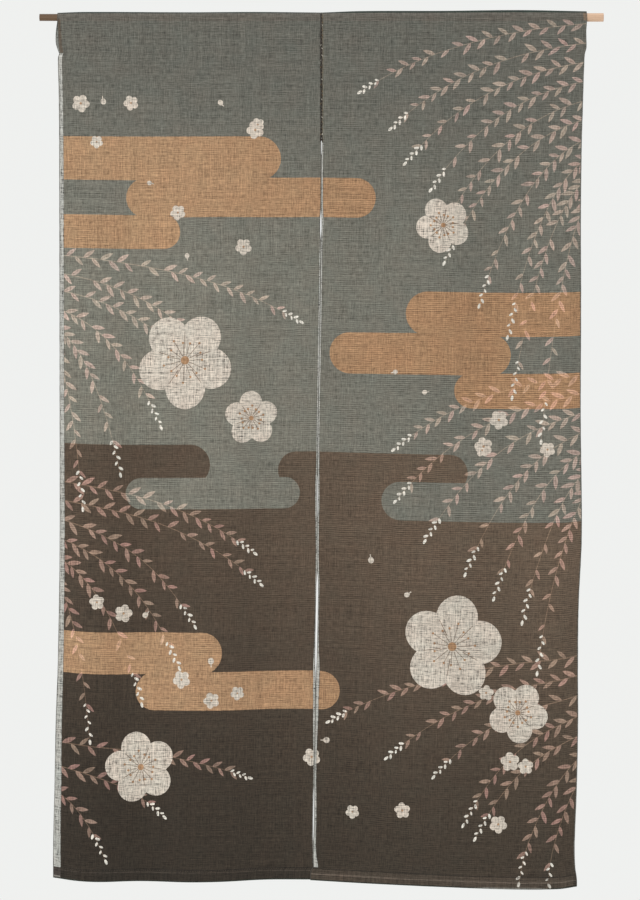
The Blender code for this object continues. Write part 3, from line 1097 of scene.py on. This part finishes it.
def makePole():
    bpy.ops.object.select_all(action="DESELECT")
    half = hang["poleLength"] / 2 * mm
    bpy.ops.mesh.primitive_cone_add(vertices=56, radius1=hang["poleLeft"] * mm,
                                    radius2=hang["poleRight"] * mm, depth=2 * half,
                                    rotation=(0, math.pi / 2, 0))
    pole = bpy.context.object
    pole.name = "turned_pole"
    bpy.ops.object.transform_apply(location=True, rotation=True, scale=True)
    bpy.ops.object.mode_set(mode="EDIT")
    bpy.ops.mesh.select_mode(type="EDGE")
    bpy.ops.mesh.select_all(action="DESELECT")
    bpy.ops.object.mode_set(mode="OBJECT")
    for edge in pole.data.edges:
        ends = [pole.data.vertices[k].co.x for k in edge.vertices]
        edge.select = abs(ends[0] - ends[1]) < 1e-5
    bpy.ops.object.mode_set(mode="EDIT")
    bpy.ops.mesh.bevel(offset=0.9 * mm, segments=3, profile=0.6)
    bpy.ops.mesh.select_all(action="DESELECT")
    bpy.ops.object.mode_set(mode="OBJECT")
    for face in pole.data.polygons:
        face.select = abs(face.normal.x) > 0.99
    bpy.ops.object.mode_set(mode="EDIT")
    bpy.ops.mesh.select_mode(type="FACE")
    bpy.ops.mesh.inset(thickness=1.2 * mm)
    bpy.ops.mesh.inset(thickness=1.6 * mm)
    bpy.ops.mesh.select_all(action="SELECT")
    bpy.ops.mesh.bisect(plane_co=(0, 0, 0), plane_no=(1, 0, 0))
    bpy.ops.object.mode_set(mode="OBJECT")
    bpy.ops.object.shade_smooth_by_angle(angle=math.radians(40))
    pole.data.materials.clear()
    pole.data.materials.append(woodMaterial())
    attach(pole, "root")
    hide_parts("pole")
    print("pole made:", len(pole.data.polygons), "faces")


makePole()


# stage, camera and light

def makeStage():
    bpy.ops.object.select_all(action="DESELECT")
    bpy.ops.mesh.primitive_plane_add(size=5.4, location=(0, 0, -1.9))
    floor = bpy.context.object
    floor.name = "floor"
    pale, _, shader = newFinish("paleFloor", 0.9, 0.5)
    shader.inputs["Base Color"].default_value = (0.86, 0.87, 0.86, 1)
    floor.data.materials.append(pale)


studio = {
    "background": (0.866, 0.875, 0.862),
    "ambient": 0.585,
    "key": 28.5,
    "keyPlace": (-1.1, -2.6, 0.1),
    "keyAim": (-0.05, 0, -0.75),
    "ceiling": 1.0,  # straight down, for the floor
    "distance": 6.0,
    "pixel": 0.00172,  # metres in a pixel of the frame, at the cloth
    "frameHeight": 900,  # pixels
    "aim": (-0.0026, -0.744),  # across and up, at the middle of the frame
}


def makeStudio():
    world = bpy.data.worlds.new("studio")
    bpy.context.scene.world = world
    world.use_nodes = True
    tree = world.node_tree
    seen = tree.nodes["Background"]
    seen.inputs["Color"].default_value = (*studio["background"], 1)
    lit = addNode(tree, "ShaderNodeBackground", {"Color": (1, 1, 1, 1), "Strength": studio["ambient"]})
    ray = addNode(tree, "ShaderNodeLightPath")
    mix = addNode(tree, "ShaderNodeMixShader", {0: ray.outputs["Is Camera Ray"], 1: lit.outputs[0],
                                                2: seen.outputs[0]})
    tree.links.new(mix.outputs[0], tree.nodes["World Output"].inputs["Surface"])
    lamp = bpy.data.lights.new("softbox", "AREA")
    lamp.shape = "RECTANGLE"
    lamp.size = 1.6
    lamp.size_y = 1.6
    lamp.energy = studio["key"]
    key = newObject("softbox", lamp)
    key.location = studio["keyPlace"]
    key.rotation_euler = (Vector(studio["keyAim"]) - key.location).to_track_quat("-Z", "Y").to_euler()
    view = bpy.data.cameras.new("camera")
    view.lens = view.sensor_width * studio["distance"] / (studio["frameHeight"] * studio["pixel"])
    sun = bpy.data.lights.new("ceiling", "SUN")
    sun.energy = studio["ceiling"]
    sun.angle = math.radians(30)
    newObject("ceiling", sun).location = (0, 0, 1.5)
    camera = newObject("camera", view)
    camera.location = (studio["aim"][0], -studio["distance"], studio["aim"][1])
    camera.rotation_euler = (math.pi / 2, 0, 0)
    bpy.context.scene.camera = camera
    bpy.context.scene.view_settings.view_transform = "Standard"


makeStage()
makeStudio()
print("stage, light and camera set")
